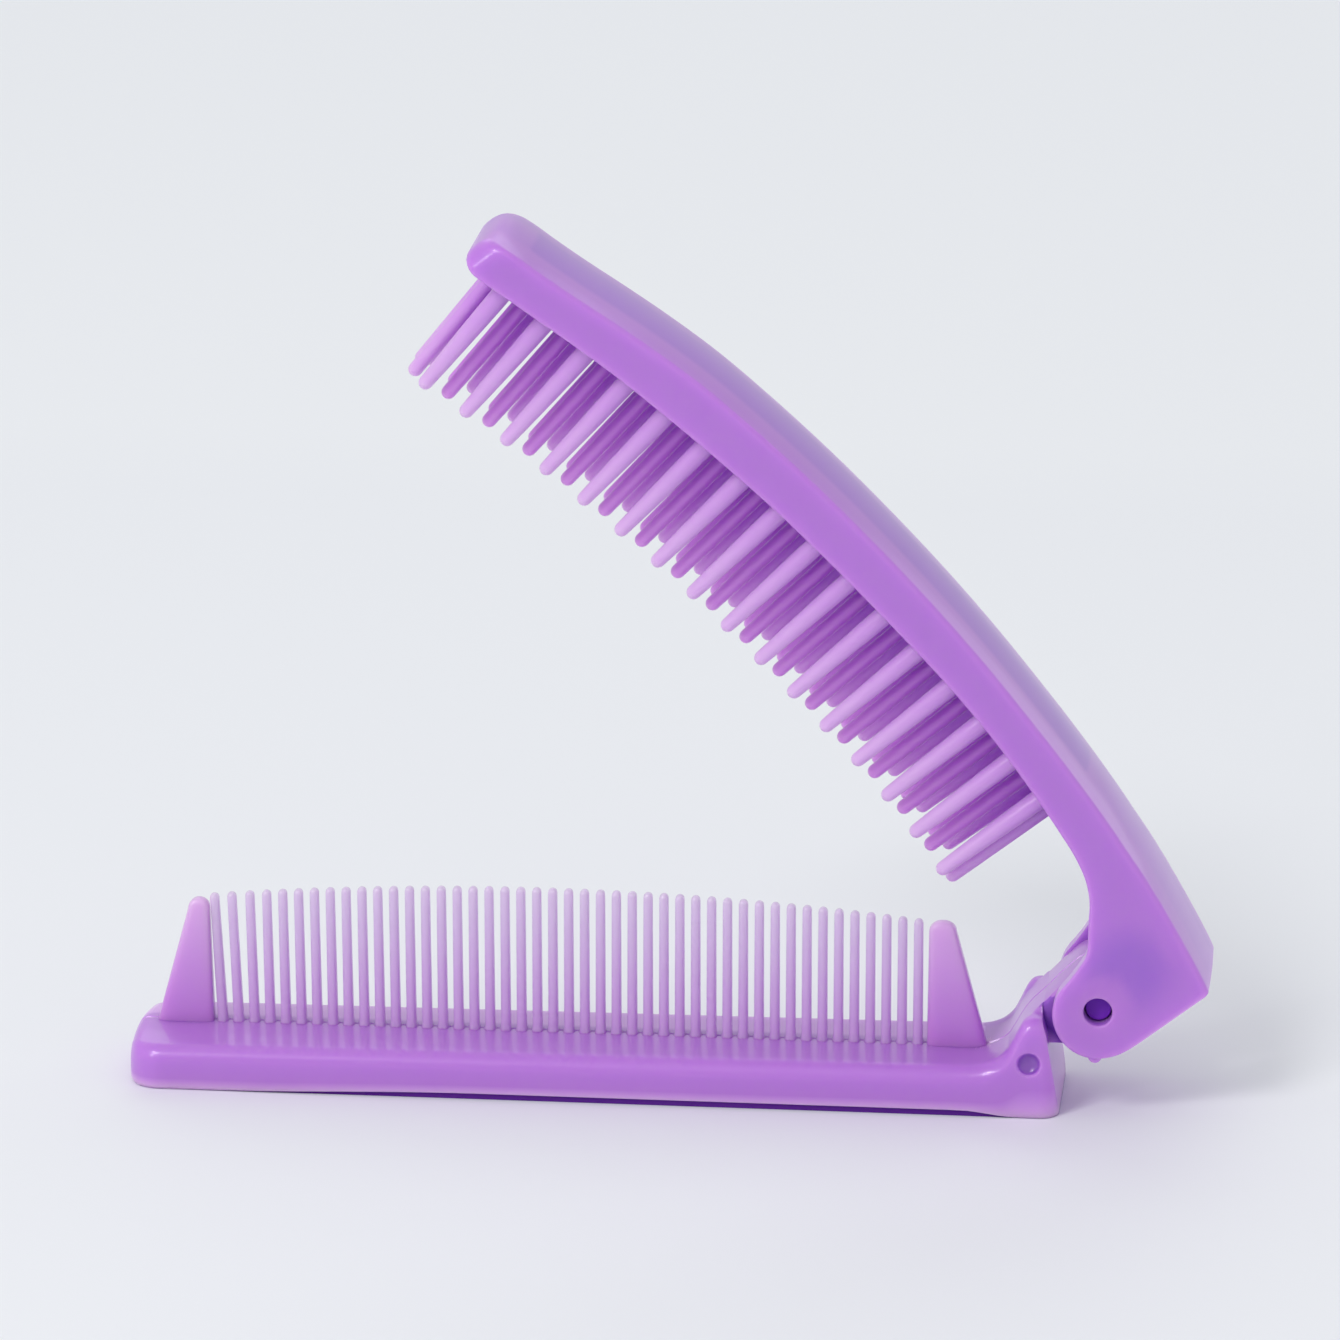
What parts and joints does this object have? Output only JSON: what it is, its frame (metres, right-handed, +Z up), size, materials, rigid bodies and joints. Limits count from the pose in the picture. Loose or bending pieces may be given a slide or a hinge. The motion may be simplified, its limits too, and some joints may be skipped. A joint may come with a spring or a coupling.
{
  "type": "folding comb and brush",
  "caption": "Folding pocket comb and brush in moulded plastic: a fine-toothed comb half resting on its spine, and a hinged, curved brush half standing half open over it.",
  "frame": {"origin": "bottom centre of the bounding box at the rest pose, on the surface the comb half lies on", "axes": "+X along the comb half towards the hinge, +Y to the far side, +Z up; the brush half leans back over the comb half"},
  "size_m": [0.1284, 0.019, 0.1044],
  "materials": {
    "comb_plastic": "translucent purple, glossy",
    "brush_plastic": "translucent purple, glossy",
    "pin_plastic": "dark violet, seen only down the hinge holes"
  },
  "bodies": {
    "comb": {"comb_half": "comb_plastic", "hinge_pin": "pin_plastic"},
    "brush": {"brush_half": "brush_plastic"}
  },
  "joints": [
    {"name": "fold", "type": "hinge", "parent": "comb", "child": "brush", "pos_m": [0.0512, 0, 0.0133], "axis": [0, 1, 0], "range_deg": [-45, 110]}
  ]
}
